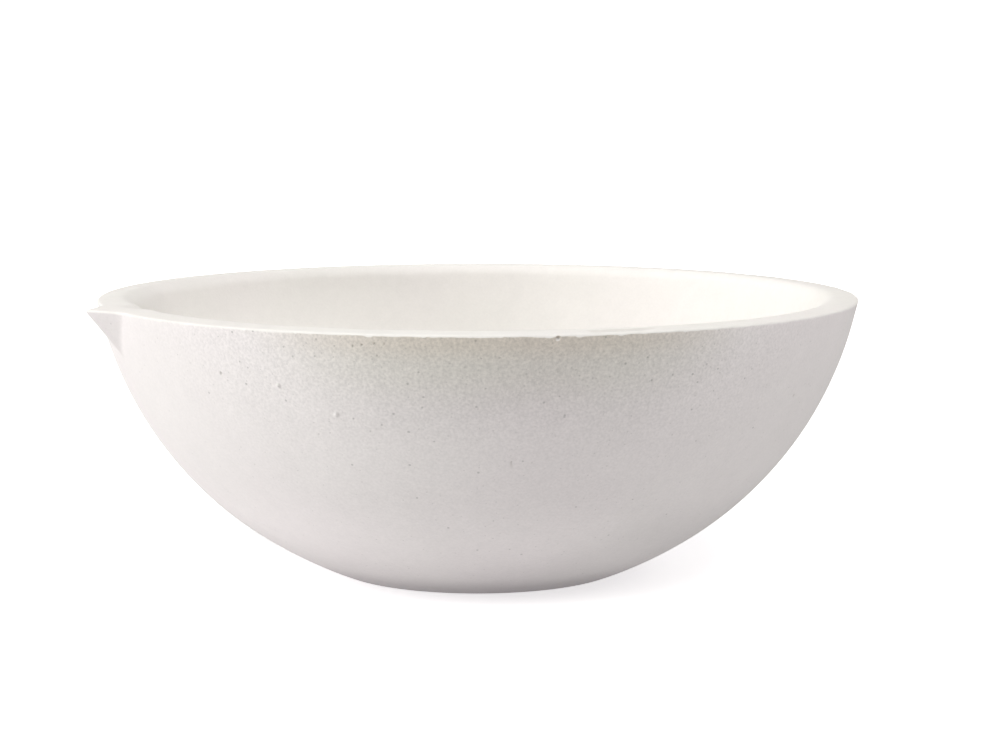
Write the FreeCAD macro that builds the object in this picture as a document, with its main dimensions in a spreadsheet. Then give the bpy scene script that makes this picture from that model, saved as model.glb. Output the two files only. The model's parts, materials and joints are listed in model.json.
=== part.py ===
import FreeCAD, Part
import os
import Sketcher
from FreeCAD import Placement, Rotation, Vector
from math import cos, hypot, pi, radians, sin, sqrt, tan

# Evaporating dish: one thick-walled, round-bottomed bowl of unglazed porous ceramic, fired in one piece.
# The wall is a lathe profile of two tangent arcs outside and two inside. The rim is ground flat between a
# sharp outside edge and a well rounded inside one. A V-shaped pouring beak stands out of the wall at the
# rim, towards -X, with a V groove that runs into it from inside.
# Origin: centre of the flat foot. +Z is up, through the middle of the bowl. Millimetres.

DIMENSIONS = [
    ("rim_radius", 60.0, "outside radius of the rim, without the beak"),
    ("rim_width", 6.0, "thickness of the wall at the rim, with its rounded edges"),
    ("dish_height", 44.0, "foot to rim"),
    ("foot_radius", 22.0, "radius of the flat foot"),
    ("outer_bottom_radius", 63.5, "arc of the outside near the foot, centred on the axis"),
    ("outer_side_radius", 57.0, "arc of the outside up to the rim"),
    ("floor_thickness", 6.0, "thickness of the floor on the axis"),
    ("inner_bottom_radius", 84.0, "arc of the inside floor, centred on the axis"),
    ("inner_side_radius", 45.0, "arc of the inside up to the rim"),
    ("beak_reach", 4.2, "how far the beak's tip stands out of the rim's circle"),
    ("beak_angle", 112.0, "angle between the beak's two flanks, seen from above, in degrees"),
    ("beak_tip_radius", 1.0, "rounding of the beak's tip, seen from above"),
    ("groove_reach", 3.2, "how far the beak's groove runs out of the inside circle of the rim"),
    ("groove_tip_radius", 1.0, "rounding at the bottom of the groove"),
    ("keel_drop", 10.0, "height over which beak and groove are built, the last part of it inside the wall"),
    ("keel_setback", 7.9, "how far the beak's keel and the groove run inwards over keel_drop"),
    ("beak_root_radius", 1.5, "rounding where the beak's flanks meet the wall"),
    ("groove_root_radius", 3.0, "rounding where the groove meets the inside wall"),
    ("outer_edge_radius", 0.7, "rounding of the rim's outside edge"),
    ("inner_edge_radius", 2.5, "rounding of the rim's inside edge, which is smaller than groove_root_radius"),
    ("foot_edge_radius", 4.0, "rounding between foot and bottom"),
]

START, END, CENTRE = 1, 2, 3  # the points of a sketched edge
X_AXIS, Y_AXIS = -1, -2  # a sketch's own axes
ORIGIN = (X_AXIS, START)
# The edges of the wall's profile, in the order in which they are drawn.
FOOT_LINE, OUTER_BOTTOM, OUTER_SIDE, RIM_LINE, INNER_SIDE, INNER_BOTTOM, AXIS_LINE = range(7)
# The edges of a wedge: its back, and then round its rounded tip.
BACK_LINE, FIRST_FLANK, TIP_ARC, SECOND_FLANK = range(4)
FLAT = 1e-4  # mm, for telling which edges and faces are level

doc = FreeCAD.newDocument("evaporating_dish")


def make_sheet():
    """The driving dimensions, one row each: name, value, meaning."""
    table = doc.addObject("Spreadsheet::Sheet", "Dims")
    for row, (alias, value, meaning) in enumerate(DIMENSIONS, start=1):
        table.set(f"A{row}", alias)
        table.set(f"B{row}", str(value))
        table.set(f"C{row}", meaning)
        table.setAlias(f"B{row}", alias)
    doc.recompute()
    return table


dims = make_sheet()


def value_of(alias):
    return float(dims.get(alias))


# --- sketching ---


def add_sketch(body, name, role):
    """A sketch on one of the body's own origin planes."""
    sketch = body.newObject("Sketcher::SketchObject", name)
    plane = next(f for f in body.Origin.OriginFeatures if f.Role == role)
    sketch.AttachmentSupport = [(plane, "")]
    sketch.MapMode = "FlatFace"
    return sketch


def line(start, end):
    return Part.LineSegment(Vector(*start, 0), Vector(*end, 0))


def arc(centre, radius, start_angle, end_angle):
    """Arc from one angle to the other, counter-clockwise, in radians from the sketch's +X."""
    circle = Part.Circle(Vector(*centre, 0), Vector(0, 0, 1), radius)
    return Part.ArcOfCircle(circle, start_angle, end_angle)


def hold(sketch, kind, *arguments):
    """Add a constraint that has no size."""
    sketch.addConstraint(Sketcher.Constraint(kind, *arguments))


def drive(sketch, name, expression, kind, *arguments):
    """Add a dimension and drive it from the sheet. The last argument is its first value."""
    index = sketch.addConstraint(Sketcher.Constraint(kind, *arguments))
    sketch.renameConstraint(index, name)
    sketch.setExpression(f"Constraints.{name}", expression)


def profile_sketch(body):
    """Half section of the bowl, in the XZ plane, on the +X side of its axis."""
    sketch = add_sketch(body, "wall_profile", "XZ_Plane")
    rim, width, top = value_of("rim_radius"), value_of("rim_width"), value_of("dish_height")
    foot, floor = value_of("foot_radius"), value_of("floor_thickness")
    bottom, side = value_of("outer_bottom_radius"), value_of("outer_side_radius")
    inner_bottom, inner_side = value_of("inner_bottom_radius"), value_of("inner_side_radius")

    # The arcs are drawn near their places, and the constraints then set them exactly.
    blend, inner_blend, rim_end = radians(-52), radians(-75), radians(-10)
    bottom_z = sqrt(bottom**2 - foot**2)
    inner_bottom_z = floor + inner_bottom
    offset, inner_offset = bottom - side, inner_bottom - inner_side
    side_centre = (offset * cos(blend), bottom_z + offset * sin(blend))
    inner_side_centre = (inner_offset * cos(inner_blend), inner_bottom_z + inner_offset * sin(inner_blend))
    sketch.addGeometry([
        line((0, 0), (foot, 0)),
        arc((0, bottom_z), bottom, radians(-70), blend),
        arc(side_centre, side, blend, rim_end),
        line((rim, top), (rim - width, top)),
        arc(inner_side_centre, inner_side, inner_blend, rim_end),
        arc((0, inner_bottom_z), inner_bottom, -pi / 2, inner_blend),
        line((0, floor), (0, 0)),
    ])

    hold(sketch, "Coincident", FOOT_LINE, START, *ORIGIN)
    hold(sketch, "Horizontal", FOOT_LINE)
    hold(sketch, "Coincident", FOOT_LINE, END, OUTER_BOTTOM, START)
    hold(sketch, "PointOnObject", OUTER_BOTTOM, CENTRE, Y_AXIS)
    hold(sketch, "Tangent", OUTER_BOTTOM, END, OUTER_SIDE, START)
    hold(sketch, "Coincident", OUTER_SIDE, END, RIM_LINE, START)
    hold(sketch, "Horizontal", RIM_LINE)
    hold(sketch, "Coincident", RIM_LINE, END, INNER_SIDE, END)
    hold(sketch, "Tangent", INNER_SIDE, START, INNER_BOTTOM, END)
    hold(sketch, "PointOnObject", INNER_BOTTOM, CENTRE, Y_AXIS)
    hold(sketch, "Coincident", INNER_BOTTOM, START, AXIS_LINE, START)
    hold(sketch, "Coincident", AXIS_LINE, END, *ORIGIN)
    hold(sketch, "Vertical", AXIS_LINE)

    drive(sketch, "foot", "Dims.foot_radius", "DistanceX", FOOT_LINE, START, FOOT_LINE, END, foot)
    drive(sketch, "outer_bottom", "Dims.outer_bottom_radius", "Radius", OUTER_BOTTOM, bottom)
    drive(sketch, "outer_side", "Dims.outer_side_radius", "Radius", OUTER_SIDE, side)
    drive(sketch, "rim", "Dims.rim_radius", "DistanceX", *ORIGIN, RIM_LINE, START, rim)
    drive(sketch, "top", "Dims.dish_height", "DistanceY", *ORIGIN, RIM_LINE, START, top)
    drive(sketch, "width", "Dims.rim_width", "DistanceX", RIM_LINE, END, RIM_LINE, START, width)
    drive(sketch, "inner_side", "Dims.inner_side_radius", "Radius", INNER_SIDE, inner_side)
    drive(sketch, "inner_bottom", "Dims.inner_bottom_radius", "Radius", INNER_BOTTOM, inner_bottom)
    drive(sketch, "floor", "Dims.floor_thickness", "DistanceY", *ORIGIN, AXIS_LINE, START, floor)
    return sketch


def wedge_sketch(body, name, level, tip, back, tip_radius):
    """Triangle that points to -X, with a rounded tip, on a plane parallel to the rim.

    level, tip and back are expressions: the height of the plane, and how far from the axis the tip and the
    triangle's back edge lie. tip_radius is the name of a dimension.
    """
    sketch = add_sketch(body, name, "XY_Plane")
    sketch.setExpression("AttachmentOffset.Base.z", level)
    half_angle = radians(value_of("beak_angle") / 2)
    radius = value_of(tip_radius)

    # Drawn with its back at the inside of the rim and its tip at the outside, until the expressions place it.
    tip_x, back_x = value_of("rim_radius"), value_of("rim_radius") - value_of("rim_width")
    centre_x = tip_x - radius
    turn = pi / 2 - half_angle
    touch = (-centre_x - radius * sin(half_angle), radius * cos(half_angle))
    half_width = (tip_x - back_x) * tan(half_angle)
    sketch.addGeometry([
        line((-back_x, -half_width), (-back_x, half_width)),
        line((-back_x, half_width), touch),
        arc((-centre_x, 0), radius, pi - turn, pi + turn),
        line((touch[0], -touch[1]), (-back_x, -half_width)),
    ])

    hold(sketch, "Coincident", BACK_LINE, END, FIRST_FLANK, START)
    hold(sketch, "Coincident", SECOND_FLANK, END, BACK_LINE, START)
    hold(sketch, "Tangent", FIRST_FLANK, END, TIP_ARC, START)
    hold(sketch, "Tangent", TIP_ARC, END, SECOND_FLANK, START)
    hold(sketch, "PointOnObject", TIP_ARC, CENTRE, X_AXIS)
    hold(sketch, "Symmetric", BACK_LINE, START, BACK_LINE, END, X_AXIS)

    drive(sketch, "tip_radius", f"Dims.{tip_radius}", "Radius", TIP_ARC, radius)
    drive(sketch, "tip", f"{tip} - Dims.{tip_radius}", "DistanceX", TIP_ARC, CENTRE, *ORIGIN, centre_x)
    drive(sketch, "back", back, "DistanceX", BACK_LINE, START, *ORIGIN, back_x)
    drive(sketch, "flanks", "Dims.beak_angle * 1 deg", "Angle", SECOND_FLANK, END, FIRST_FLANK, START,
          2 * half_angle)
    return sketch


# --- features ---


def revolve_wall(body, profile):
    wall = body.newObject("PartDesign::Revolution", "wall")
    wall.Profile = profile
    wall.ReferenceAxis = (profile, ["V_Axis"])
    wall.Angle = 360
    body.Tip = wall
    doc.recompute()
    return wall


def finish_feature(body, feature):
    """Make a feature the body's last one, and make sure that it changed the solid."""
    before = body.Shape.Volume
    body.Tip = feature
    doc.recompute()
    if not feature.isValid() or abs(body.Shape.Volume - before) < 1e-3:
        raise RuntimeError(f"{feature.Name} failed or changed nothing")
    return feature


def loft(body, kind, name, sections):
    feature = body.newObject(kind, name)
    feature.Profile = sections[0]
    feature.Sections = sections[1:]
    feature.Ruled = True
    return finish_feature(body, feature)


def round_edges(body, name, edges, size):
    """Round some edges of the body's last feature by a dimension of the sheet."""
    base = body.Tip
    fillet = body.newObject("PartDesign::Fillet", name)
    fillet.Base = (base, edges)
    fillet.setExpression("Radius", f"Dims.{size}")
    return finish_feature(body, fillet)


# --- picking edges ---


def edge_names(shape, wanted):
    """Names of the shape's edges for which wanted(edge) is true."""
    return [f"Edge{i}" for i, edge in enumerate(shape.Edges, start=1) if wanted(edge)]


def root_edges(shape, profile, wall_arc):
    """Edges on the -X side, under the rim, that lie on the surface swept by an arc of the profile."""
    circle = profile.Geometry[wall_arc]

    def on_wall(point):
        distance = hypot(hypot(point.x, point.y) - circle.Center.x, point.z - circle.Center.y)
        return point.x < 0 and abs(distance - circle.Radius) < 100 * FLAT

    def wanted(edge):
        first, last = edge.FirstParameter, edge.LastParameter
        points = [edge.valueAt(p) for p in (first, (first + last) / 2, last)]
        return points[1].z < value_of("dish_height") - FLAT and all(map(on_wall, points))

    return edge_names(shape, wanted)


def rim_loop(shape, inside):
    """Edges round the outside or the inside of the ground rim."""
    top = value_of("dish_height")
    rim = next(f for f in shape.Faces if f.BoundBox.ZLength < FLAT and abs(f.BoundBox.ZMin - top) < FLAT)
    loops = [wire for wire in rim.Wires if wire.isSame(rim.OuterWire) != inside]
    rim_edges = [edge for wire in loops for edge in wire.Edges]
    return edge_names(shape, lambda edge: any(edge.isSame(other) for other in rim_edges))


def foot_circle(shape):
    return edge_names(shape, lambda edge: edge.BoundBox.ZMax < FLAT)


# --- the dish ---


def make_dish():
    body = doc.addObject("PartDesign::Body", "dish")
    body.Label = "dish"
    body.Placement = Placement(Vector(0, 0, 0), Rotation())

    profile = profile_sketch(body)
    revolve_wall(body, profile)

    # The beak's flanks are flat, and its keel runs down and inwards until it is buried in the wall.
    # The back of each of its wedges stays inside the wall, so that nothing shows in the open bowl.
    rim_level = "Dims.dish_height"
    low_level = "Dims.dish_height - Dims.keel_drop"
    tip = "Dims.rim_radius + Dims.beak_reach"
    loft(body, "PartDesign::AdditiveLoft", "beak", [
        wedge_sketch(body, "beak_top", rim_level, tip,
                     "Dims.rim_radius - Dims.rim_width / 2", "beak_tip_radius"),
        wedge_sketch(body, "beak_bottom", low_level, f"{tip} - Dims.keel_setback",
                     "Dims.rim_radius - Dims.rim_width", "beak_tip_radius"),
    ])

    # The groove runs parallel to the keel. The back of each of its wedges lies in the open bowl.
    groove_tip = "Dims.rim_radius - Dims.rim_width + Dims.groove_reach"
    loft(body, "PartDesign::SubtractiveLoft", "groove", [
        wedge_sketch(body, "groove_top", rim_level, groove_tip,
                     "Dims.rim_radius - Dims.rim_width * 5 / 3", "groove_tip_radius"),
        wedge_sketch(body, "groove_bottom", low_level, f"{groove_tip} - Dims.keel_setback",
                     "Dims.rim_radius - Dims.rim_width * 7 / 3", "groove_tip_radius"),
    ])

    round_edges(body, "beak_root", root_edges(body.Shape, profile, OUTER_SIDE), "beak_root_radius")
    round_edges(body, "groove_root", root_edges(body.Shape, profile, INNER_SIDE), "groove_root_radius")
    round_edges(body, "rim_outside", rim_loop(body.Shape, inside=False), "outer_edge_radius")
    round_edges(body, "rim_inside", rim_loop(body.Shape, inside=True), "inner_edge_radius")
    round_edges(body, "foot_edge", foot_circle(body.Shape), "foot_edge_radius")
    return body


def check(body):
    """Stop unless the whole document is sound and the body is one valid solid of the size set above."""
    for item in doc.Objects:
        if "Invalid" in item.State or "Error" in item.State:
            raise RuntimeError(f"{item.Name} is {item.State}")
    for sketch in doc.findObjects("Sketcher::SketchObject"):
        if not sketch.FullyConstrained:
            raise RuntimeError(f"{sketch.Name} isn't fully constrained")
    shape = body.Shape
    if shape.isNull() or not shape.isValid() or len(shape.Solids) != 1:
        raise RuntimeError(f"{body.Label} isn't one valid solid")
    box = shape.optimalBoundingBox(True, False)
    if abs(box.ZMin) > FLAT or abs(box.ZMax - value_of("dish_height")) > FLAT:
        raise RuntimeError(f"{body.Label} isn't as high as it should be: {box}")
    print(f"{body.Label}: {box.XLength:.2f} x {box.YLength:.2f} x {box.ZLength:.2f} mm, "
          f"{shape.Volume / 1000:.1f} cm3, tip of the beak at x = {box.XMin:.2f} mm")


dish = make_dish()
check(dish)
os.makedirs("parts", exist_ok=True)
dish.Shape.exportStep(f"parts/{dish.Label}.step")
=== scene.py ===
"""Looks of the evaporating dish: a thick bowl of unglazed porous ceramic, with its grain, pits and chips.

The outline follows the CAD node "dish". Shapes are worked out in millimetres, and turned into metres when
the mesh is made. Directions round the axis are turns: 0 at the beak, and counter-clockwise seen from above.
"""

import json
import random
from math import cos, pi, radians, sin, sqrt, tan

import bmesh
import bpy
import numpy as np
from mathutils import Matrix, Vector, noise
from mathutils.kdtree import KDTree


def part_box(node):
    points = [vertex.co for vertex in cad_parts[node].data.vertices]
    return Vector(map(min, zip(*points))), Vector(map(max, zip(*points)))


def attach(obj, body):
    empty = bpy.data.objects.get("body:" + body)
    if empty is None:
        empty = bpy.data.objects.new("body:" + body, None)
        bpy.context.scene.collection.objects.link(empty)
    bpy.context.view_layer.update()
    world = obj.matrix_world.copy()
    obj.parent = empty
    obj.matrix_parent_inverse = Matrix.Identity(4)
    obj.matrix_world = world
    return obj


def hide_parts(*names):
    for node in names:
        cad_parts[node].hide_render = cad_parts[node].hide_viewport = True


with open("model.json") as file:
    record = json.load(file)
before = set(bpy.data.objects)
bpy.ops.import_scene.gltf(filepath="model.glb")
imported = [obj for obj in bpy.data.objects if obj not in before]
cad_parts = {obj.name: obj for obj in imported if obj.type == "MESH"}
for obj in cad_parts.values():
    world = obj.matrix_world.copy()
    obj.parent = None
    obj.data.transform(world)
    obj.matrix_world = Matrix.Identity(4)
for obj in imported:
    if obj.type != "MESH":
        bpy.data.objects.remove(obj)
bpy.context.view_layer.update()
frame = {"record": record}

MM = 0.001  # metres
DISH_LOW, DISH_HIGH = (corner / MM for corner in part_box("dish"))

# --- sizes in millimetres: the box is the CAD node's, and the section repeats its dimensions ---

TOP = DISH_HIGH.z
RIM_RADIUS = DISH_HIGH.y + 0.09  # before its edge is rounded and worn, which takes more than this off
RIM_WIDTH = 6.0
FOOT_RADIUS = 22.0
FOOT_EDGE_RADIUS = 4.0
FLOOR_THICKNESS = 6.0
OUTER_BOTTOM_RADIUS = 63.5
OUTER_SIDE_RADIUS = 57.0
INNER_BOTTOM_RADIUS = 84.0
INNER_SIDE_RADIUS = 45.0

BEAK_HALF_ANGLE = radians(56)
BEAK_TIP_RADIUS = 1.0
BEAK_POINT = -DISH_LOW.x + 0.45  # before its edge is rounded, which takes more than this off
GROOVE_POINT = RIM_RADIUS - RIM_WIDTH + 3.2
KEEL_SLOPE = 0.79  # how fast beak and groove run inwards on the way down
BEAK_HEIGHT = 9.0  # under this far below the rim the outside is round
GROOVE_HEIGHT = 7.0
BEAK_ROOT = 0.35  # how soft the beak's flanks meet the wall
GROOVE_ROOT = 0.5

OUTER_EDGE_RADIUS = 0.30
INNER_EDGE_RADIUS = 2.5
RIM_DROP = 0.2  # how much lower the worn rim is at its outer edge
RIM_DROP_CURVE = 1.7  # over 1, the rim is nearly level inside and falls off near its outer edge

# --- fineness of the mesh ---

SEGMENTS = 960  # round the rim
ROW_STEP = 1.0
FINE_ROW_STEP = 0.6  # near the rim
OUTER_EDGE_ROWS = 6
RIM_TOP_ROWS = 8
INNER_EDGE_ROWS = 10
COARSER_AT = (30.0, 15.0, 7.5, 3.75)  # inside each of these radii the segments are halved once more


# --- the half section: arcs in the plane of (distance from the axis, height) ---


def inner_tangent_centre(big_centre, big_radius, end, radius):
    """Centre of an arc that leaves a bigger one smoothly, inside it, and then passes through a point."""
    big_centre, end = np.array(big_centre), np.array(end)
    gap = big_radius - radius
    way = end - big_centre
    distance = np.hypot(*way)
    way = way / distance
    along = (gap**2 - radius**2 + distance**2) / (2 * distance)
    across = sqrt(gap**2 - along**2)
    return big_centre + along * way + across * np.array([way[1], -way[0]])


OUTER_BOTTOM_CENTRE = np.array([0, sqrt(OUTER_BOTTOM_RADIUS**2 - FOOT_RADIUS**2)])
OUTER_SIDE_CENTRE = inner_tangent_centre(
    OUTER_BOTTOM_CENTRE, OUTER_BOTTOM_RADIUS, (RIM_RADIUS, TOP), OUTER_SIDE_RADIUS)
INNER_BOTTOM_CENTRE = np.array([0, FLOOR_THICKNESS + INNER_BOTTOM_RADIUS])
INNER_SIDE_CENTRE = inner_tangent_centre(
    INNER_BOTTOM_CENTRE, INNER_BOTTOM_RADIUS, (RIM_RADIUS - RIM_WIDTH, TOP), INNER_SIDE_RADIUS)


def arc_points(centre, radius, first, last, step=ROW_STEP):
    """Points along an arc, from one angle to the other, about a step apart. The last point is left out."""
    count = max(2, round(abs(last - first) * radius / step))
    angles = np.linspace(first, last, count, endpoint=False)
    return [centre + radius * np.array([cos(angle), sin(angle)]) for angle in angles]


def direction(start, end):
    """Angle of the way from one point to another."""
    return np.arctan2(end[1] - start[1], end[0] - start[0])


def outside_section():
    """From near the middle of the foot to just under the beak."""
    edge_height = FOOT_EDGE_RADIUS
    edge_reach = sqrt((OUTER_BOTTOM_RADIUS - edge_height)**2 - (OUTER_BOTTOM_CENTRE[1] - edge_height)**2)
    edge_centre = np.array([edge_reach, edge_height])
    edge_end = direction(OUTER_BOTTOM_CENTRE, edge_centre)
    bottom_end = direction(OUTER_BOTTOM_CENTRE, OUTER_SIDE_CENTRE)
    side_end = np.arcsin((TOP - BEAK_HEIGHT - OUTER_SIDE_CENTRE[1]) / OUTER_SIDE_RADIUS)
    return [
        *[np.array([r, 0.0]) for r in np.arange(ROW_STEP, edge_reach - ROW_STEP / 2, ROW_STEP)],
        *arc_points(edge_centre, FOOT_EDGE_RADIUS, -pi / 2, edge_end, ROW_STEP / 3),
        *arc_points(OUTER_BOTTOM_CENTRE, OUTER_BOTTOM_RADIUS, edge_end, bottom_end),
        *arc_points(OUTER_SIDE_CENTRE, OUTER_SIDE_RADIUS, bottom_end, side_end),
    ]


def inside_section():
    """From just under the groove to near the middle of the floor."""
    side_start = np.arcsin((TOP - GROOVE_HEIGHT - INNER_SIDE_CENTRE[1]) / INNER_SIDE_RADIUS)
    side_end = direction(INNER_BOTTOM_CENTRE, INNER_SIDE_CENTRE)
    last = -pi / 2 + ROW_STEP / INNER_BOTTOM_RADIUS
    return [
        *arc_points(INNER_SIDE_CENTRE, INNER_SIDE_RADIUS, side_start, side_end)[1:],
        *arc_points(INNER_BOTTOM_CENTRE, INNER_BOTTOM_RADIUS, side_end, last),
    ]


# --- the beak, the groove and the rim: distances from the axis in each direction ---


def rim_turns():
    """Directions of the mesh's segments in radians, closer together round the beak."""
    fine = np.linspace(-pi, pi, 20001)
    density = 1 + 2.5 * np.exp(-((fine / radians(8)) ** 2))
    total = np.concatenate([[0], np.cumsum((density[1:] + density[:-1]) / 2)])
    return np.interp(np.arange(SEGMENTS) / SEGMENTS * total[-1], total, fine)


TURNS = rim_turns()


def wedge(turns, tip, tip_radius):
    """Distance from the axis of a V that points away from it, with a rounded tip."""
    off = np.abs(turns)
    sharp_tip = tip + tip_radius * (1 / sin(BEAK_HALF_ANGLE) - 1)
    flank = sharp_tip / (np.cos(off) + np.sin(off) / tan(BEAK_HALF_ANGLE))
    centre = tip - tip_radius
    tip_arc = centre * np.cos(off) + np.sqrt(np.maximum(tip_radius**2 - (centre * np.sin(off))**2, 0))
    touch = np.arctan2(tip_radius * cos(BEAK_HALF_ANGLE), centre + tip_radius * sin(BEAK_HALF_ANGLE))
    return np.where(off < touch, tip_arc, np.where(off < pi / 3, flank, 0))


def smooth_max(a, b, softness):
    """The larger of two distances, with a rounded corner where they cross."""
    overlap = np.maximum(softness - np.abs(a - b), 0)
    return np.maximum(a, b) + overlap**2 / (4 * softness)


def ripple(turns, seed, *waves):
    """Sum of smooth random waves round the rim. A wave is its length in millimetres and its height."""
    points = np.stack([np.cos(turns), np.sin(turns)], -1) * RIM_RADIUS
    total = np.zeros(len(turns))
    for length, height in waves:
        total += height * np.array([noise.noise(Vector((x / length, y / length, seed))) for x, y in points])
    return total


# How far the outside stands off its ideal circle, and the inside too, in each direction.
OUT_OF_ROUND = -0.05 + ripple(TURNS, 1.7, (70, 0.07), (24, 0.02))
THICKNESS_CHANGE = ripple(TURNS, 5.2, (60, 0.14), (22, 0.04))


def outside_reach(z):
    """Distance from the axis to the outside, in each direction, at a height near the rim."""
    wall = OUTER_SIDE_CENTRE[0] + np.sqrt(OUTER_SIDE_RADIUS**2 - (z - OUTER_SIDE_CENTRE[1])**2)
    tip = BEAK_POINT - KEEL_SLOPE * (TOP - z)
    return smooth_max(wall, wedge(TURNS, tip, BEAK_TIP_RADIUS), BEAK_ROOT) + OUT_OF_ROUND


def inside_reach(z):
    """Distance from the axis to the inside, in each direction, at a height near the rim."""
    wall = INNER_SIDE_CENTRE[0] + np.sqrt(INNER_SIDE_RADIUS**2 - (z - INNER_SIDE_CENTRE[1])**2)
    tip = GROOVE_POINT - KEEL_SLOPE * (TOP - z)
    return smooth_max(wall, wedge(TURNS, tip, BEAK_TIP_RADIUS), GROOVE_ROOT) + THICKNESS_CHANGE


def edge_rows(reach, top, edge_radius, side, count):
    """Rows of points round an edge of the rim, from the wall to its top. side is 1 outside and -1 inside."""
    corner = reach(top)
    below = 0.5
    slope = np.arctan((corner - reach(top - below)) / below)
    stretch = np.sqrt(1 + (np.gradient(corner, TURNS) / corner)**2)
    centre = corner - side * stretch * edge_radius / np.tan((pi / 2 - side * slope) / 2)
    rows = []
    for share in np.linspace(0, 1, count):
        angle = -side * slope + share * (pi / 2 + side * slope)
        rows.append((centre + side * stretch * edge_radius * np.cos(angle),
                     top - edge_radius + edge_radius * np.sin(angle)))
    return rows


def wall_rows(reach, start, end, step):
    """Rows of points up the wall, between two heights. The last row is left out."""
    count = round(float(np.max(np.abs(end - start))) / step)
    heights = [start + (end - start) * share for share in np.linspace(0, 1, count, endpoint=False)]
    return [(reach(z), z) for z in heights]


def bites(seed, count, length, depth):
    """Random chips along an edge, as what each adds to the edge's radius in each direction."""
    draw = random.Random(seed)
    total = np.zeros(SEGMENTS)
    for _ in range(count):
        place = draw.uniform(-pi, pi)
        width = draw.uniform(*length) / 2 / RIM_RADIUS
        bite = draw.uniform(*depth)
        off = np.abs((TURNS - place + pi) % (2 * pi) - pi) / width
        total = np.maximum(total, bite * np.clip(1.6 * (1 - off**2), 0, 1))
    return total


def outer_edge_radius():
    """Radius of the rim's outer edge in each direction, with its wear and chips."""
    wear = ripple(TURNS, 9.1, (7, 0.08), (2.2, 0.10), (0.9, 0.08))
    away_from_beak = np.clip((np.abs(TURNS) - radians(2)) / radians(3), 0, 1)
    return OUTER_EDGE_RADIUS + (wear + bites(31, 40, (0.5, 1.4), (0.05, 0.22))) * away_from_beak


def inner_edge_radius():
    """Radius of the rim's inner edge in each direction."""
    return INNER_EDGE_RADIUS + ripple(TURNS, 3.3, (16, 0.5), (4, 0.25), (1.2, 0.10))


def rim_rows():
    """Rows from just under the beak, over the rim, to just under the groove."""
    outer_edge = edge_rows(outside_reach, TOP - RIM_DROP, outer_edge_radius(), 1, OUTER_EDGE_ROWS)
    inner_edge = edge_rows(inside_reach, TOP, inner_edge_radius(), -1, INNER_EDGE_ROWS)
    top = []
    for share in np.arange(1, RIM_TOP_ROWS + 1) / (RIM_TOP_ROWS + 1):
        reach = outer_edge[-1][0] + (inner_edge[-1][0] - outer_edge[-1][0]) * share
        top.append((reach, TOP - RIM_DROP * (1 - share)**RIM_DROP_CURVE))
    start = np.full(SEGMENTS, TOP - BEAK_HEIGHT)
    groove_end = np.full(SEGMENTS, TOP - GROOVE_HEIGHT)
    return [
        *wall_rows(outside_reach, start, outer_edge[0][1], FINE_ROW_STEP),
        *outer_edge,
        *top,
        *reversed(inner_edge),
        *reversed(wall_rows(inside_reach, groove_end, inner_edge[0][1], FINE_ROW_STEP)),
    ]


# --- the mesh ---


def stride(radius):
    """How many of the rim's segments make one segment at this radius."""
    return 2 ** (1 + sum(radius < limit for limit in COARSER_AT))


def ring(reach, height, step):
    """Points of one row, every step-th of the rim's directions, in millimetres."""
    angles = pi + TURNS[::step]
    reach = np.broadcast_to(reach, SEGMENTS)[::step]
    height = np.broadcast_to(height, SEGMENTS)[::step]
    return np.stack([reach * np.cos(angles), reach * np.sin(angles), height], -1)


def all_rings():
    rings = [ring(r + OUT_OF_ROUND * r / RIM_RADIUS, z, stride(r)) for r, z in outside_section()]
    rings += [ring(r, z, 1) for r, z in rim_rows()]
    rings += [ring(r + THICKNESS_CHANGE * r / RIM_RADIUS, z, stride(r)) for r, z in inside_section()]
    return rings


def bridge(a, b):
    """Faces between two neighbouring rings, of which one may have twice as many points as the other."""
    def at(points, i):
        return points[i % len(points)]

    if len(a) == len(b):
        return [(at(a, i), at(a, i + 1), at(b, i + 1), at(b, i)) for i in range(len(a))]
    faces = []
    for i in range(min(len(a), len(b))):
        if len(a) > len(b):
            faces.append((at(a, 2 * i), at(a, 2 * i + 1), at(b, i)))
            faces.append((at(a, 2 * i + 1), at(b, i + 1), at(b, i)))
            faces.append((at(a, 2 * i + 1), at(a, 2 * i + 2), at(b, i + 1)))
        else:
            faces.append((at(a, i), at(b, 2 * i + 1), at(b, 2 * i)))
            faces.append((at(a, i), at(a, i + 1), at(b, 2 * i + 1)))
            faces.append((at(a, i + 1), at(b, 2 * i + 2), at(b, 2 * i + 1)))
    return faces


def closed_mesh(name):
    """The dish's undisturbed shape as one closed mesh, in millimetres."""
    rings = all_rings()
    points = np.concatenate([[(0, 0, 0)], *rings, [(0, 0, FLOOR_THICKNESS)]])
    indices = []
    used = 1
    for points_of_ring in rings:
        indices.append(range(used, used + len(points_of_ring)))
        used += len(points_of_ring)
    first, last = indices[0], indices[-1]
    faces = [(0, first[(i + 1) % len(first)], first[i]) for i in range(len(first))]
    for a, b in zip(indices[:-1], indices[1:]):
        faces += bridge(a, b)
    faces += [(last[i], last[(i + 1) % len(last)], used) for i in range(len(last))]
    mesh = bpy.data.meshes.new(name)
    mesh.from_pydata(points.tolist(), [], faces)
    mesh.update()
    return mesh


# --- relief of the surface ---

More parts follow.
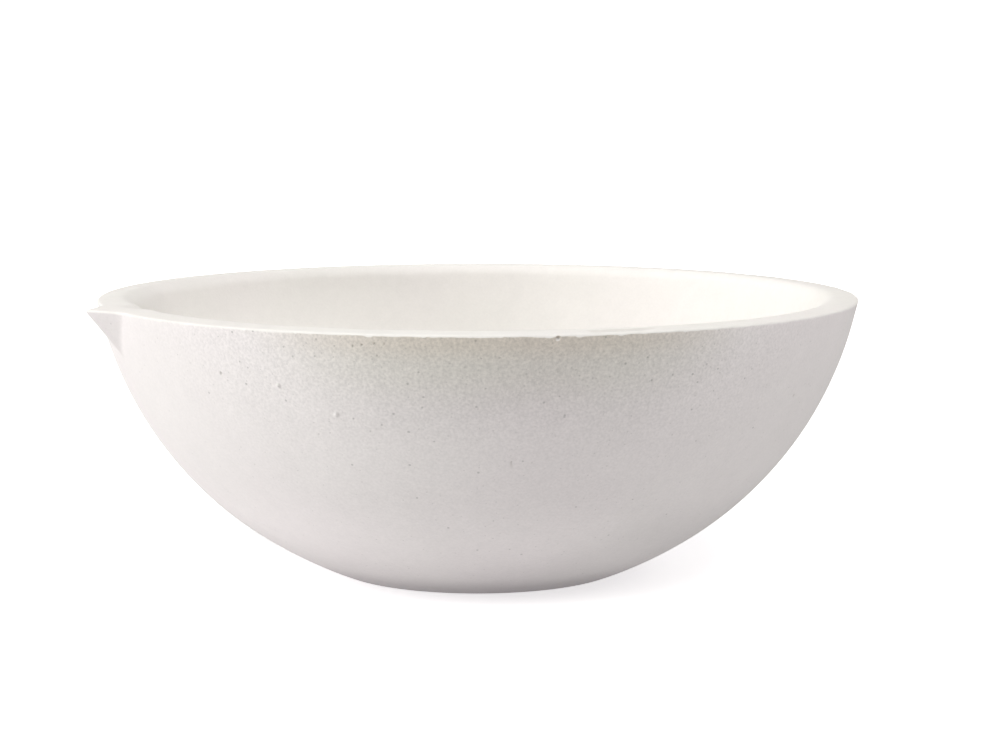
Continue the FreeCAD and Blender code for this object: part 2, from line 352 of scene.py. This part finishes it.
# Marks on the outside wall: turn in degrees, and then in millimetres its height on the dish, its width and
# how far it stands out. A pit stands out by less than nothing.
GRAINS = [
    (38.4, 35.7, 0.75, 0.26),
    (46.8, 31.9, 0.80, 0.28),
    (34.5, 43.5, 0.50, 0.12),
    (42.4, 43.4, 0.45, 0.10),
    (60.4, 43.4, 0.40, 0.10),
]
PITS = [
    (78.0, 43.3, 0.70, -0.34),
    (50.6, 42.0, 0.42, -0.20),
    (51.9, 42.2, 0.42, -0.20),
    (53.6, 42.4, 0.42, -0.20),
    (55.0, 42.4, 0.36, -0.18),
]


def scattered_marks(seed, count, heights, widths, share):
    """Random marks round the whole outside. share is the depth for each millimetre of width."""
    draw = random.Random(seed)
    marks = []
    for _ in range(count):
        width = draw.uniform(*widths)
        marks.append((draw.uniform(-180, 180), draw.uniform(*heights), width, share * width))
    return marks


# Marks under this height are placed on the outside's lower arc. It ends a little lower, and up to here the
# two arcs hardly differ.
LOWER_WALL_TOP = OUTER_SIDE_CENTRE[1] - OUTER_SIDE_RADIUS * 0.79


def wall_point(turn, height):
    """The place on the plain outside wall at a turn in degrees and a height."""
    if height > LOWER_WALL_TOP:
        centre, radius = OUTER_SIDE_CENTRE, OUTER_SIDE_RADIUS
    else:
        centre, radius = OUTER_BOTTOM_CENTRE, OUTER_BOTTOM_RADIUS
    reach = centre[0] + sqrt(radius**2 - (height - centre[1])**2)
    angle = pi + radians(turn)
    return Vector((reach * cos(angle), reach * sin(angle), height))


def waviness(point):
    """How far hand finishing and drying left the wall off its ideal shape, in millimetres."""
    slow = noise.noise(point / 26 + Vector((3, 8, 1)))
    medium = noise.noise(point / 9 + Vector((7, 2, 4)))
    fine = noise.noise(point / 2.6 + Vector((1, 5, 9)))
    return 0.06 * slow - 0.05 + 0.020 * medium + 0.010 * fine


def fade(value, start, end):
    """0 before start, 1 after end, and smooth between."""
    share = min(max((value - start) / (end - start), 0), 1)
    return share * share * (3 - 2 * share)


def away_from_flats(height):
    """0 on the ground rim and on the foot, and 1 a little way from both."""
    return fade(height, 0.1, 3.1) * (1 - fade(height, TOP - 3.2, TOP - 0.2))


def roughen(bm):
    """Moves the surface in and out a little, except on the rim and the foot."""
    bm.normal_update()
    for vert in bm.verts:
        vert.co += vert.normal * waviness(vert.co) * away_from_flats(vert.co.z)


FLAKE_TURNS = (82.2, 83.6, 90, 95)  # in degrees: where the flake starts, is whole, thins out and ends
FLAKE_WIDTH = 2.7  # from the rim's outer edge in to the step
FLAKE_DEPTH = 0.3


def flake(bm):
    """Lowers the outer part of the rim's top on one stretch, up to a small step that gets painted shade."""
    hollow_shade = bm.verts.layers.float["hollow_shade"]
    start, whole, thinning, end = FLAKE_TURNS
    for vert in bm.verts:
        if vert.co.z < TOP - 2 * FLAKE_DEPTH:
            continue
        turn = np.degrees(np.arctan2(vert.co.y, vert.co.x) + pi)
        share = fade(turn, start, whole) * (1 - fade(turn, thinning, end))
        step = RIM_RADIUS - FLAKE_WIDTH + 0.25 * noise.noise(vert.co / 1.3)
        floor = TOP - FLAKE_DEPTH - 0.05 * noise.noise(vert.co / 0.8)
        reach = vert.co.xy.length
        # Painted shade along the step.
        if abs(reach - step) < 0.4:
            vert[hollow_shade] = 0.3 * share
        if reach > step and vert.co.z > floor:
            vert.co.z += (floor - vert.co.z) * share


def faces_near(bm, places, margin):
    """Faces whose middle is within a mark, or within a margin round it. A place is a point and a radius."""
    tree = KDTree(len(bm.faces))
    faces = list(bm.faces)
    for index, face in enumerate(faces):
        tree.insert(face.calc_center_median(), index)
    tree.balance()
    found = set()
    for point, radius in places:
        found.update(faces[index] for _, index, _ in tree.find_range(point, radius + margin))
    return found


def add_marks(bm, marks):
    """Splits the faces round each mark, then raises a small rough mound or sinks a pit there, and gives a
    pit painted shade.
    """
    places = [(wall_point(turn, height), width / 2) for turn, height, width, _ in marks]
    edges = {edge for face in faces_near(bm, places, 0.45) for edge in face.edges}
    bmesh.ops.subdivide_edges(bm, edges=list(edges), cuts=3, use_grid_fill=True)
    bmesh.ops.triangulate(bm, faces=[face for face in bm.faces if len(face.verts) > 4])
    bm.normal_update()
    bm.verts.index_update()
    verts = list(bm.verts)
    tree = KDTree(len(verts))
    for vert in verts:
        tree.insert(vert.co, vert.index)
    tree.balance()
    hollow_shade = bm.verts.layers.float["hollow_shade"]
    for (point, radius), (_, _, width, depth) in zip(places, marks):
        for _, index, distance in tree.find_range(point, radius * 1.3):
            vert = verts[index]
            edge = radius * (1 + 0.35 * noise.noise(vert.co / (0.5 * width)))
            share = max(1 - (distance / edge)**2, 0)
            vert.co += vert.normal * depth * share**0.8
            # A pit gets painted shade, darkest in its middle.
            if depth < 0:
                vert[hollow_shade] = max(vert[hollow_shade], 0.6 * min(2 * share, 1))


def make_dish():
    """The dish's visible body, which stands for the CAD node."""
    mesh = closed_mesh("dish_body")
    bm = bmesh.new()
    bm.from_mesh(mesh)
    # Painted shade, for the flake's step and the pits.
    bm.verts.layers.float.new("hollow_shade")
    roughen(bm)
    flake(bm)
    marks = GRAINS + PITS
    marks += scattered_marks(7, 12, (8, 42), (0.4, 0.7), 0.3)
    marks += scattered_marks(8, 24, (20, 43), (0.35, 0.5), -0.5)
    add_marks(bm, marks)
    bmesh.ops.scale(bm, vec=(MM, MM, MM), verts=bm.verts)
    bm.to_mesh(mesh)
    bm.free()
    for polygon in mesh.polygons:
        polygon.use_smooth = True
    dish = bpy.data.objects.new("dish_body", mesh)
    bpy.context.scene.collection.objects.link(dish)
    return dish


# --- material ---


class Graph:
    """Short forms for building a node tree."""

    def __init__(self, tree):
        self.tree = tree
        tree.nodes.clear()

    def add(self, kind, inputs=(), **settings):
        """A node with its settings, and its inputs given as numbers or as other nodes' outputs."""
        made = self.tree.nodes.new(kind)
        for name, value in settings.items():
            setattr(made, name, value)
        for name, value in dict(inputs).items():
            if isinstance(value, bpy.types.NodeSocket):
                self.tree.links.new(value, made.inputs[name])
            else:
                made.inputs[name].default_value = value
        return made

    def math(self, operation, a, b=0.0, c=0.0):
        return self.add("ShaderNodeMath", {0: a, 1: b, 2: c}, operation=operation).outputs[0]

    def noise(self, place, size, detail=2.0, roughness=0.5):
        """Noise from 0 to 1, with features of a size in millimetres."""
        inputs = {"Vector": place, "Scale": 1 / size, "Detail": detail, "Roughness": roughness}
        return self.add("ShaderNodeTexNoise", inputs).outputs["Fac"]

    def step(self, value, low, high, start=0.0, end=1.0):
        """Goes smoothly from start to end while the value goes from low to high."""
        inputs = {"Value": value, "From Min": low, "From Max": high, "To Min": start, "To Max": end}
        return self.add("ShaderNodeMapRange", inputs, interpolation_type="SMOOTHSTEP").outputs["Result"]

    def mix(self, share, a, b, blend="MIX"):
        """Mixes two colours, or multiplies them."""
        made = self.add("ShaderNodeMix", data_type="RGBA", blend_type=blend)
        for socket, value in zip((made.inputs[0], made.inputs[6], made.inputs[7]), (share, a, b)):
            if isinstance(value, bpy.types.NodeSocket):
                self.tree.links.new(value, socket)
            else:
                socket.default_value = value
        return made.outputs[2]

    def product(self, *values):
        result = values[0]
        for value in values[1:]:
            result = self.math("MULTIPLY", result, value)
        return result


def new_material(name):
    material = bpy.data.materials.new(name)
    material.use_nodes = True
    return material, Graph(material.node_tree)


def pits(graph, place, cell, radius, fewest):
    """1 in the middle of round pits and 0 between them. fewest leaves more of the cells without one."""
    cells = graph.add("ShaderNodeTexVoronoi", {"Vector": place, "Scale": 1 / cell, "Randomness": 1.0})
    chance = graph.add("ShaderNodeSeparateColor", {0: cells.outputs["Color"]}).outputs[0]
    size = graph.step(chance, fewest, 1.0, -0.3 * radius / cell, radius / cell)
    depth = graph.math("SUBTRACT", size, cells.outputs["Distance"])
    return graph.step(depth, -0.3 * radius / cell, 0.4 * radius / cell)


def one_side(graph, x, y, turn, start, end):
    """1 on the side of the dish towards a turn in degrees. start and end are shares of the radius."""
    angle = pi + radians(turn)
    along = graph.math("MULTIPLY_ADD", x, cos(angle), graph.math("MULTIPLY", y, sin(angle)))
    return graph.step(along, start * RIM_RADIUS, end * RIM_RADIUS)


def pitted_zone(graph, x, y, upper, outside):
    """1 where the wall is roughest: high up on one side. The side away from that comes next."""
    rough_back = graph.product(0.6, one_side(graph, x, y, 250, 0.20, 0.80))
    rough_side = graph.math("MAXIMUM", one_side(graph, x, y, 70, 0.50, 0.98), rough_back)
    return graph.product(outside, rough_side, graph.math("MULTIPLY_ADD", upper, 0.72, 0.28))


def open_pores(graph, place, outside, pitted):
    """Pinholes, which are outside only, and finer pores. Each is 1 in the middle of a hole and 0 between."""
    pinholes = pits(graph, place, 1.1, 0.19, graph.math("SUBTRACT", 0.98, graph.product(pitted, 0.65)))
    pores = pits(graph, place, 0.62, 0.14, graph.math("SUBTRACT", 0.80, graph.product(pitted, 0.70)))
    pores = graph.product(pores, graph.math("MULTIPLY_ADD", outside, 0.8, 0.2))
    return graph.product(pinholes, outside), pores


def brightness(graph, place, grain, coarse, outside, pitted):
    """How light or dark the ceramic is from its grain and blotches, round 1."""
    blotches = graph.noise(place, 9, detail=3, roughness=0.55)
    outside_grain = graph.math("MULTIPLY_ADD", outside, 0.03, 0.06)
    contrast = graph.math("MULTIPLY_ADD", pitted, 0.46, outside_grain)
    value = graph.math("MULTIPLY_ADD", graph.math("SUBTRACT", grain, 0.5), contrast, 1.0)
    value = graph.math("MULTIPLY_ADD", graph.math("SUBTRACT", coarse, 0.5), 0.05, value)
    return graph.math("MULTIPLY_ADD", graph.math("SUBTRACT", blotches, 0.5), 0.06, value)


def tinted(graph, place, x, y, height, upper, outside):
    """The ceramic's colour: a band under the rim that is partly stained and partly painted shade, painted
    shade near the foot, in the pits and at the flake's step, and painted light and shade low on the wall.
    """
    # Darker band under the rim on one side: its warm tints are a stain, and its even darkening is painted
    # shade.
    stain_and_shade = graph.product(outside, upper, one_side(graph, x, y, 71, 0.79, 1.0))
    olive = graph.product(stain_and_shade, graph.step(height, TOP - 13, TOP - 5))
    brown = graph.product(stain_and_shade, graph.step(height, TOP - 5, TOP - 1))
    # Painted shade: darker near the foot, where the dish shades the floor under it.
    painted_foot_shade = graph.step(height, 0.5, 4.5, 1.0, 0.0)
    low = graph.product(outside, graph.step(height, 8, 20, 1.0, 0.0))
    # Painted light: lighter low on the wall on one side.
    painted_light_low = graph.product(low, one_side(graph, x, y, 50, 0.40, 0.62))
    # Painted shade: darker low on the wall on another side.
    painted_shade_side = graph.product(low, one_side(graph, x, y, 135, 0.48, 0.66))
    # Painted shade at the flake's step and in the pits, stored on the mesh.
    hollow_shade = graph.add("ShaderNodeAttribute", attribute_name="hollow_shade").outputs["Fac"]

    base = (*frame["record"]["materials"][0]["base_color"], 1.0)
    patches = graph.step(graph.noise(place, 30, detail=1), 0.35, 0.65)
    tint = graph.mix(patches, (1.0, 0.985, 0.99, 1.0), (0.995, 0.99, 0.985, 1.0))
    colour = graph.mix(1.0, base, tint, "MULTIPLY")
    for share, shade in (
        (outside, (0.995, 0.978, 1.0)),
        # Partly a stain, partly painted shade under the rim.
        (stain_and_shade, (0.84, 0.83, 0.83)),
        (olive, (0.98, 1.0, 0.94)),
        (brown, (1.0, 0.96, 0.92)),
        # Painted shade near the foot.
        (painted_foot_shade, (0.78, 0.77, 0.78)),
        # Painted light low on the wall.
        (painted_light_low, (1.10, 1.10, 1.10)),
        # Painted shade low on the wall.
        (painted_shade_side, (0.92, 0.92, 0.92)),
        # Painted shade at the flake's step and in the pits.
        (hollow_shade, (0.58, 0.56, 0.54)),
    ):
        colour = graph.mix(share, colour, graph.mix(1.0, colour, (*shade, 1.0), "MULTIPLY"))
    return colour


def fine_relief(graph, grain, pinholes, pores, pitted):
    """The bump of the grain, with the pinholes and pores sunk into it."""
    relief = graph.math("MULTIPLY", grain, graph.math("MULTIPLY_ADD", pitted, 0.5, 0.4))
    relief = graph.math("MULTIPLY_ADD", pinholes, -1.2, relief)
    relief = graph.math("MULTIPLY_ADD", pores, -0.5, relief)
    bump = graph.add("ShaderNodeBump", {"Height": relief, "Strength": 0.4, "Distance": 0.08 * MM})
    return bump.outputs[0]


def ceramic():
    """Unglazed porous ceramic: grainy and pitted outside, with a band under the rim that is partly stained
    and partly painted shade, painted light and shade low on the wall and in its holes, and cleaner inside.
    """
    material, graph = new_material("porous_ceramic")
    texture = graph.add("ShaderNodeTexCoord")
    scaled = {0: texture.outputs["Object"], "Scale": 1 / MM}
    place = graph.add("ShaderNodeVectorMath", scaled, operation="SCALE").outputs[0]
    x, y, height = graph.add("ShaderNodeSeparateXYZ", {0: place}).outputs
    up = graph.add("ShaderNodeSeparateXYZ", {0: texture.outputs["Normal"]}).outputs["Z"]
    outside = graph.step(up, -0.05, 0.10, 1.0, 0.0)
    upper = graph.step(height, TOP - 22, TOP - 1)

    grain = graph.noise(place, 0.42, detail=1.5, roughness=0.6)
    coarse = graph.noise(place, 1.8, detail=2)
    pitted = pitted_zone(graph, x, y, upper, outside)
    pinholes, pores = open_pores(graph, place, outside, pitted)
    value = brightness(graph, place, grain, coarse, outside, pitted)
    # Darker pinholes and pores: painted shade inside the holes.
    value = graph.product(value, graph.step(pinholes, 0.0, 1.0, 1.0, 0.74))
    value = graph.product(value, graph.step(pores, 0.0, 1.0, 1.0, 0.87))
    gray = graph.add("ShaderNodeCombineColor", {0: value, 1: value, 2: value}).outputs[0]
    colour = tinted(graph, place, x, y, height, upper, outside)
    shader = graph.add("ShaderNodeBsdfPrincipled", {
        "Base Color": graph.mix(1.0, colour, gray, "MULTIPLY"),
        "Roughness": graph.step(coarse, 0.2, 0.8, 0.84, 0.96),
        "Normal": fine_relief(graph, grain, pinholes, pores, pitted),
        "Specular IOR Level": 0.25,
    })
    graph.add("ShaderNodeOutputMaterial", {"Surface": shader.outputs[0]})
    return material


# --- floor, lights and camera ---


FLOOR_REACH = 4.0  # metres each way, far more than the camera sees
FLOOR_GAP = 0.02  # millimetres under the foot, so that the two don't share a plane


def make_floor():
    """A plain white sheet on a lit table."""
    corners = [(-1, -1), (1, -1), (1, 1), (-1, 1)]
    bm = bmesh.new()
    bm.faces.new([bm.verts.new((x * FLOOR_REACH, y * FLOOR_REACH, -FLOOR_GAP * MM)) for x, y in corners])
    mesh = bpy.data.meshes.new("floor")
    bm.to_mesh(mesh)
    bm.free()
    floor = bpy.data.objects.new("floor", mesh)
    bpy.context.scene.collection.objects.link(floor)
    mesh.materials.append(lit_sheet())


# How much the floor reflects and how much it glows, for the light that reaches the dish and for the camera.
FLOOR_TO_DISH = (0.45, 0.30)
FLOOR_TO_CAMERA = (0.92, 0.55)


def lit_sheet():
    """White and lighter to the camera than to the dish, so that the dish's shadow stays faint."""
    material, graph = new_material("white_sheet")
    layers = []
    for reflected, glowing in (FLOOR_TO_DISH, FLOOR_TO_CAMERA):
        sheet = graph.add("ShaderNodeBsdfDiffuse", {"Color": (reflected, reflected, reflected, 1.0)})
        glow = graph.add("ShaderNodeEmission", {"Color": (1.0, 0.99, 1.0, 1.0), "Strength": glowing})
        layers.append(graph.add("ShaderNodeAddShader", {0: sheet.outputs[0], 1: glow.outputs[0]}).outputs[0])
    seen = graph.add("ShaderNodeLightPath").outputs["Is Camera Ray"]
    both = graph.add("ShaderNodeMixShader", {0: seen, 1: layers[0], 2: layers[1]}).outputs[0]
    graph.add("ShaderNodeOutputMaterial", {"Surface": both})
    return material


# Soft light from far off: name, turn from the camera in degrees, elevation, width, strength, colour.
LIGHTS = [
    ("overhead", 0, 70, 60, 2.10, (1.0, 0.99, 0.96)),
    ("left", -80, 9, 44, 3.05, (1.0, 1.0, 0.985)),
    ("right", 85, 40, 60, 1.12, (1.0, 0.985, 0.99)),
]
CAMERA_TURN = -22.5  # degrees round the dish, from a view along +Y
CAMERA_DISTANCE = 7 * RIM_RADIUS  # from the dish's axis
CAMERA_RISE = 39.1  # above the rim
CAMERA_TILT = 7.07  # degrees down from level
CAMERA_SWING = 0.47  # degrees to the right of the dish's axis
LENS = 95.56
SENSOR_WIDTH = 36.0


def add_light(name, turn, elevation, width, strength, colour):
    """A broad, even light. It shines from a direction, so that it lights the whole floor alike."""
    lamp = bpy.data.lights.new(name, "SUN")
    lamp.energy = strength
    lamp.angle = radians(width)
    lamp.color = colour
    light = bpy.data.objects.new(name, lamp)
    heading = radians(CAMERA_TURN + turn)
    rise = radians(elevation)
    source = Vector((sin(heading) * cos(rise), -cos(heading) * cos(rise), sin(rise)))
    light.rotation_mode = "QUATERNION"
    light.rotation_quaternion = source.to_track_quat("Z", "Y")
    bpy.context.scene.collection.objects.link(light)


def make_world():
    """White where the camera sees it, and almost dark to everything else."""
    world = bpy.data.worlds.new("studio")
    world.use_nodes = True
    graph = Graph(world.node_tree)
    seen = graph.add("ShaderNodeLightPath").outputs["Is Camera Ray"]
    dim = graph.add("ShaderNodeBackground", {"Color": (1.0, 1.0, 1.0, 1.0), "Strength": 0.03}).outputs[0]
    white = graph.add("ShaderNodeBackground", {"Color": (1.0, 1.0, 1.0, 1.0), "Strength": 1.1}).outputs[0]
    both = graph.add("ShaderNodeMixShader", {0: seen, 1: dim, 2: white}).outputs[0]
    graph.add("ShaderNodeOutputWorld", {"Surface": both})
    bpy.context.scene.world = world


def make_camera():
    """A little above the rim, looking slightly down over its near side."""
    data = bpy.data.cameras.new("camera")
    data.sensor_width = SENSOR_WIDTH
    data.lens = LENS
    camera = bpy.data.objects.new("camera", data)
    heading = radians(CAMERA_TURN)
    across, along = sin(heading) * CAMERA_DISTANCE, -cos(heading) * CAMERA_DISTANCE
    camera.location = Vector((across, along, TOP + CAMERA_RISE)) * MM
    camera.rotation_euler = (radians(90 - CAMERA_TILT), 0, heading - radians(CAMERA_SWING))
    bpy.context.scene.collection.objects.link(camera)
    bpy.context.scene.camera = camera


# --- the scene ---

dish = make_dish()
dish.data.materials.append(ceramic())
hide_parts("dish")
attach(dish, "root")

make_floor()
make_world()
for light in LIGHTS:
    add_light(*light)
make_camera()
bpy.context.scene.view_settings.view_transform = "Standard"
